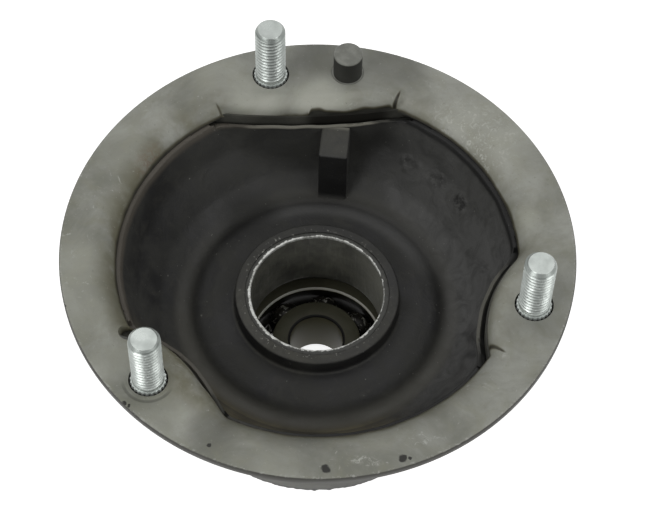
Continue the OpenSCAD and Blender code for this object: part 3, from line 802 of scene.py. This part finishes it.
def grooveArc(side, shoulder):
    # the raceway's section, from its upper to its lower edge; side is -1 on the inner race
    half = math.acos(abs(shoulder - bearing["pitch"]) / bearing["groove"])
    return [(bearing["pitch"] + side * bearing["groove"] * math.cos(half - 2 * half * k / 20),
             bearing["drop"] + bearing["groove"] * math.sin(half - 2 * half * k / 20)) for k in range(21)]


innerLine = [(7.1, -45.9), (7.25, -45.5), (7.7, -45.3), (11.2, -45.3), (11.65, -45.45), (11.8, -45.9)]
innerLine += grooveArc(-1, 11.8)
innerLine += [(11.8, -59.9), (11.65, -60.35), (11.2, -60.5), (7.7, -60.5), (7.25, -60.35), (7.1, -59.9)]
outerLine = [(20.98, -48.1), (20.8, -47.65), (20.4, -47.5), (18.1, -47.5), (17.65, -47.65), (17.5, -48.1)]
outerLine += grooveArc(1, 17.5)
outerLine += [(17.5, -59.9), (17.65, -60.35), (18.1, -60.48), (20.4, -60.48), (20.98, -59.9)]
addPiece("innerRace", lathe(innerLine), bearingSteel, "inner", ["inner_race"])
addPiece("outerRace", lathe(outerLine), bearingSteel, "mount", ["outer_race"])


def cageMesh(side):
    # one half of the ribbon: flat between the balls, domed over each of them
    inner, outer, pocket, thick = (cage[key] for key in ("inner", "outer", "pocket", "thick"))
    top = [inner + (outer - inner) * k / 8 for k in range(9)]
    rows = [(r, pocket + thick, thick) for r in top] + [(r, pocket, 0.02) for r in reversed(top)]

    def at(i, angle):
        r, dome, flat = rows[i]
        step = 2 * math.pi / bearing["count"]
        turn = (angle + step / 2) % step - step / 2
        d2 = r * r + bearing["pitch"] ** 2 - 2 * r * bearing["pitch"] * math.cos(turn)
        rise = max(flat, math.sqrt(max(dome ** 2 - d2, 0)))
        return r, bearing["drop"] + side * rise

    return skinMesh(len(rows), cage["columns"], at)


for cageName, side, node in (("cageUpper", 1, "cage_upper"), ("cageLower", -1, "cage_lower")):
    addPiece(cageName, cageMesh(side), cageSteel, "ball_set", [node])


def startTree(name, numbers):
    # a geometry tree with named number inputs and a material input
    tree = bpy.data.node_groups.new(name, "GeometryNodeTree")
    tree.interface.new_socket("Geometry", in_out="OUTPUT", socket_type="NodeSocketGeometry")
    for key in numbers:
        tree.interface.new_socket(key, in_out="INPUT", socket_type="NodeSocketFloat")
    tree.interface.new_socket("surface", in_out="INPUT", socket_type="NodeSocketMaterial")
    return tree, addNode(tree, "NodeGroupInput").outputs


def endTree(tree, geometry, given):
    real = addNode(tree, "GeometryNodeRealizeInstances", {"Geometry": geometry})
    painted = addNode(tree, "GeometryNodeSetMaterial", {"Geometry": real.outputs[0], "Material": given["surface"]})
    addNode(tree, "NodeGroupOutput", {0: painted.outputs[0]})


def grown(tree, numbers, material):
    # the tree's result as a plain mesh
    holder = bpy.data.objects.new("holder", bpy.data.meshes.new("holder"))
    bpy.context.collection.objects.link(holder)
    modifier = holder.modifiers.new("grow", "NODES")
    modifier.node_group = tree
    for item in tree.interface.items_tree:
        if item.in_out == "INPUT" and item.name in numbers:
            modifier[item.identifier] = float(numbers[item.name])
        if item.in_out == "INPUT" and item.name == "surface":
            modifier[item.identifier] = material
    bpy.context.view_layer.update()
    mesh = bpy.data.meshes.new_from_object(holder.evaluated_get(bpy.context.evaluated_depsgraph_get()))
    bpy.data.objects.remove(holder)
    return mesh


def ringTree():
    # copies of a squashed ball around the axis, at one or two heights
    tree, given = startTree("ringOfBalls", ["pitch", "ballRadius", "squash", "drop", "rise", "turn"])
    circle = addNode(tree, "GeometryNodeMeshCircle", {"Vertices": bearing["count"], "Radius": given["pitch"]})
    rows = []
    for side in (1.0, -1.0):
        height = addNode(tree, "Math", {0: given["rise"], 1: side, 2: given["drop"]},
                         operation="MULTIPLY_ADD").outputs[0]
        move = addNode(tree, "CombineXYZ", {2: height})
        spin = addNode(tree, "CombineXYZ", {2: given["turn"]})
        rows.append(addNode(tree, "GeometryNodeTransform",
                            {"Geometry": circle.outputs[0], "Translation": move.outputs[0],
                             "Rotation": spin.outputs[0]}).outputs[0])
    both = addNode(tree, "GeometryNodeJoinGeometry")
    for row in rows:
        tree.links.new(row, both.inputs[0])
    merged = addNode(tree, "GeometryNodeMergeByDistance", {"Geometry": both.outputs[0], "Distance": 1e-5})
    ball = addNode(tree, "GeometryNodeMeshUVSphere", {"Segments": 48, "Rings": 24, "Radius": given["ballRadius"]})
    size = addNode(tree, "CombineXYZ", {0: 1.0, 1: 1.0, 2: given["squash"]})
    copies = addNode(tree, "GeometryNodeInstanceOnPoints",
                     {"Points": merged.outputs[0], "Instance": ball.outputs[0], "Scale": size.outputs[0]})
    endTree(tree, copies.outputs[0], given)
    return tree


ring = ringTree()
balls = {"pitch": bearing["pitch"] * mm, "ballRadius": bearing["ball"] * mm, "squash": 1.0,
         "drop": bearing["drop"] * mm, "rise": 0.0, "turn": 0.0}
rivets = dict(balls, ballRadius=cage["rivet"] * mm, squash=0.43, rise=cage["thick"] * mm,
              turn=math.pi / bearing["count"])
addPiece("bearingBalls", grown(ring, balls, ballSteel), ballSteel, "ball_set",
         ["ball_%d" % k for k in range(1, bearing["count"] + 1)])
addPiece("cageRivets", grown(ring, rivets, cageSteel), cageSteel, "ball_set", ["cage_rivets"])
print("bearing made")


# studs: one grid wrapped into head, splines, thread and chamfered end by a rule

stud = {"majorRadius": 3.98, "minorRadius": 3.38, "pitch": 1.25, "tipRadius": 3.1, "tipLength": 1.0, "top": 19.0,
        "foot": -6.1, "headRadius": 6.5, "headTop": -2.5, "splineRadius": 4.7, "splineDepth": 0.4,
        "splineTop": -0.3, "shoulderRadius": 4.45, "shoulderTop": 0.35, "toothDepth": 0.3}


def studTree():
    names = [*stud, "placeX", "placeY", "phase"]
    tree, given = startTree("pressInStud", names)
    grid = addNode(tree, "GeometryNodeMeshGrid",
                   {"Size X": 1.0, "Size Y": 1.0, "Vertices X": 145, "Vertices Y": 300})
    position = addNode(tree, "GeometryNodeInputPosition").outputs[0]
    values = {name: given[name] for name in names}
    values["x"], values["y"] = addNode(tree, "SeparateXYZ", {0: position}).outputs[:2]
    # each step names its result, an operation and its terms
    rule = [
        # the first and last rows close the ends, the rest run up the stud
        ("u", "ADD", "x", 0.5), ("v", "ADD", "y", 0.5), ("left", "SUBTRACT", 1.0, "v"),
        ("nearEnd", "MINIMUM", "v", "left"), ("close", "MULTIPLY", "nearEnd", 60.0),
        ("past", "SUBTRACT", "v", 1 / 60), ("along", "MULTIPLY", "past", 60 / 58),
        ("length", "SUBTRACT", "top", "foot"), ("z", "MULTIPLY_ADD", "along", "length", "foot"),
        # thread: a flat-topped wave along the helix, which runs out towards the plate
        ("rounds", "DIVIDE", "z", "pitch"), ("rounds", "SUBTRACT", "rounds", "u"),
        ("rounds", "ADD", "rounds", "phase"), ("turn", "FRACT", "rounds"),
        ("tent", "MULTIPLY_ADD", "turn", 2.0, -1.0), ("tent", "ABSOLUTE", "tent"),
        ("tent", "SUBTRACT", 1.0, "tent"), ("crest", "MULTIPLY_ADD", "tent", 1.35, -0.12),
        ("raised", "SUBTRACT", "z", 0.0008), ("runOut", "DIVIDE", "raised", 0.0015),
        ("depth", "SUBTRACT", "majorRadius", "minorRadius"), ("depth", "MULTIPLY", "depth", "runOut"),
        ("root", "SUBTRACT", 1.0, "crest"), ("cut", "MULTIPLY", "depth", "root"),
        ("thread", "SUBTRACT", "majorRadius", "cut"),
        # the chamfered end
        ("slope", "SUBTRACT", "majorRadius", "tipRadius"), ("slope", "DIVIDE", "slope", "tipLength"),
        ("fromTop", "SUBTRACT", "top", "z"), ("cone", "MULTIPLY_ADD", "fromTop", "slope", "tipRadius"),
        ("radius", "MINIMUM", "thread", "cone"),
        # a toothed shoulder on the plate, splines in it, and the head under it with an eased edge
        ("tooth", "MULTIPLY", "u", 24.0), ("tooth", "FRACT", "tooth"),
        ("tooth", "MULTIPLY_ADD", "tooth", 2.0, -1.0), ("tooth", "ABSOLUTE", "tooth"),
        ("bite", "MULTIPLY", "tooth", "toothDepth"), ("shoulder", "SUBTRACT", "shoulderRadius", "bite"),
        ("bite", "MULTIPLY", "tooth", "splineDepth"), ("spline", "SUBTRACT", "splineRadius", "bite"),
        ("ease", "ADD", "foot", 0.0006), ("ease", "SUBTRACT", "ease", "z"), ("ease", "MAXIMUM", "ease", 0.0),
        ("head", "SUBTRACT", "headRadius", "ease")]
    for section in ("shoulder", "spline", "head"):
        rule += [("above", "GREATER_THAN", "z", section + "Top"), ("gain", "SUBTRACT", "radius", section),
                 ("radius", "MULTIPLY_ADD", "above", "gain", section)]
    rule += [("radius", "MULTIPLY", "radius", "close"), ("angle", "MULTIPLY", "u", 2 * math.pi),
             ("cosine", "COSINE", "angle"), ("sine", "SINE", "angle"),
             ("wrapX", "MULTIPLY_ADD", "radius", "cosine", "placeX"),
             ("wrapY", "MULTIPLY_ADD", "radius", "sine", "placeY")]
    limited = ("close", "along", "crest", "runOut")     # kept between 0 and 1
    for name, operation, *terms in rule:
        links = {i: values.get(term, term) for i, term in enumerate(terms)}
        step = addNode(tree, "Math", links, operation=operation, use_clamp=name in limited)
        values[name] = step.outputs[0]
    place = addNode(tree, "CombineXYZ", {0: values["wrapX"], 1: values["wrapY"], 2: values["z"]})
    wrapped = addNode(tree, "GeometryNodeSetPosition", {"Geometry": grid.outputs[0], "Position": place.outputs[0]})
    joined = addNode(tree, "GeometryNodeMergeByDistance", {"Geometry": wrapped.outputs[0], "Distance": 2e-6})
    endTree(tree, joined.outputs[0], given)
    return tree


studGrower = studTree()
for k, (px, py) in enumerate(studPlaces):
    numbers = {key: size * mm for key, size in dict(stud, placeX=px, placeY=py).items()}
    numbers["phase"] = 0.31 * k     # each thread starts at another turn
    name = "stud%d" % (k + 1)
    addPiece(name, grown(studGrower, numbers, zinc), zinc, "mount", ["stud_%d" % (k + 1)], 32.0)
print("studs made")


# locating pin

pin = {"radius": 3.8, "seat": 4.3, "collar": 5.5, "top": 8.0, "under": -4.1, "columns": 96}
pinLine = [(5.4, pin["under"]), (pin["collar"], -4.0), (pin["collar"], -2.5), (pin["seat"], -2.5),
           (pin["seat"], -0.3), (4.2, -0.02), (pin["radius"], 0.02), (pin["radius"], 7.45), (3.75, 7.7),
           (3.6, 7.88), (3.35, 7.98), (2.4, pin["top"]), (1.2, pin["top"]), (0.001, pin["top"]),
           (0.001, pin["under"]), (3.0, pin["under"])]
pinMesh = lathe(pinLine, pin["columns"])
pinMesh.transform(Matrix.Translation((0, boltRadius * mm, 0)))
addPiece("locatingPin", pinMesh, pinSteel, "mount", ["locating_pin"])
print("pin made")


# floor, light and camera

def makeFloor():
    mesh = bpy.data.meshes.new("floor")
    size = 4.0
    low = cadBox[0][2] - 0.0002     # just under the part
    corners = [(-size, -size, low), (size, -size, low), (size, size, low), (-size, size, low)]
    mesh.from_pydata(corners, [], [(0, 1, 2, 3)])
    floor = bpy.data.objects.new("floor", mesh)
    bpy.context.collection.objects.link(floor)
    material = bpy.data.materials.new("whitePaper")   # white to the camera, pale to the light
    tree = emptied(material)
    path = addNode(tree, "LightPath").outputs
    seen = mask(tree, [path["Is Camera Ray"], path["Is Glossy Ray"], path["Is Transmission Ray"]])
    paper = addNode(tree, "BsdfDiffuse", {"Color": linear("#dcdcda")})
    glow = addNode(tree, "Emission", {"Color": linear("#ffffff"), "Strength": 0.88})
    both = addNode(tree, "AddShader", {0: paper.outputs[0], 1: glow.outputs[0]})
    mixed = addNode(tree, "MixShader", {0: seen, 1: paper.outputs[0], 2: both.outputs[0]})
    addNode(tree, "OutputMaterial", {"Surface": mixed.outputs[0]})
    mesh.materials.append(material)


def makeWorld():
    world = bpy.data.worlds.new("studio")
    tree = emptied(world)
    path = addNode(tree, "LightPath").outputs
    # metal shows the white room, and the darker side from which the photo was taken
    away = addNode(tree, "TexCoord").outputs["Generated"]
    toward = addNode(tree, "VectorMath", {0: away, 1: (0.07, -0.54, 0.84)},
                     operation="DOT_PRODUCT").outputs["Value"]
    room = mask(tree, path["Is Glossy Ray"], (toward, 0.75, 0.95, 1.0, 0.3))
    level = mask(tree, [path["Is Camera Ray"], path["Is Transmission Ray"], room, 0.34])
    sky = addNode(tree, "Background", {"Color": linear("#ffffff"), "Strength": level})
    addNode(tree, "OutputWorld", {"Surface": sky.outputs[0]})
    bpy.context.scene.world = world


def addLamp(name, place, size, power):
    # a soft lamp aimed at the part
    data = bpy.data.lights.new(name, "AREA")
    data.shape, data.size, data.size_y, data.energy = "RECTANGLE", size[0], size[1], power
    lamp = bpy.data.objects.new(name, data)
    lamp.location = place
    lamp.rotation_euler = (-Vector(place)).to_track_quat("-Z", "Y").to_euler()
    bpy.context.collection.objects.link(lamp)


makeFloor()
makeWorld()
addLamp("softLeft", (-0.50, -0.62, 0.55), (0.5, 0.5), 2.9)
addLamp("softRight", (0.70, -0.35, 0.50), (0.5, 0.5), 1.7)
addLamp("softAbove", (0.0, 0.30, 0.80), (0.6, 0.4), 0.5)

view = {"place": (0.0378, -0.2950, 0.4591), "lens": 120.5, "shift": (0.0109, -0.0240), "roll": 0.96}
cameraData = bpy.data.cameras.new("camera")
cameraData.sensor_fit, cameraData.sensor_width, cameraData.lens = "HORIZONTAL", 36.0, view["lens"]
cameraData.shift_x, cameraData.shift_y = view["shift"]
cameraData.clip_start, cameraData.clip_end = 0.01, 20.0
camera = bpy.data.objects.new("camera", cameraData)
camera.location = view["place"]
look = (-Vector(view["place"])).to_track_quat("-Z", "Y")
camera.rotation_euler = (look.to_matrix() @ Matrix.Rotation(math.radians(view["roll"]), 3, "Z")).to_euler()
bpy.context.collection.objects.link(camera)
bpy.context.scene.camera = camera
bpy.context.scene.view_settings.view_transform = "Standard"
print("stage set")
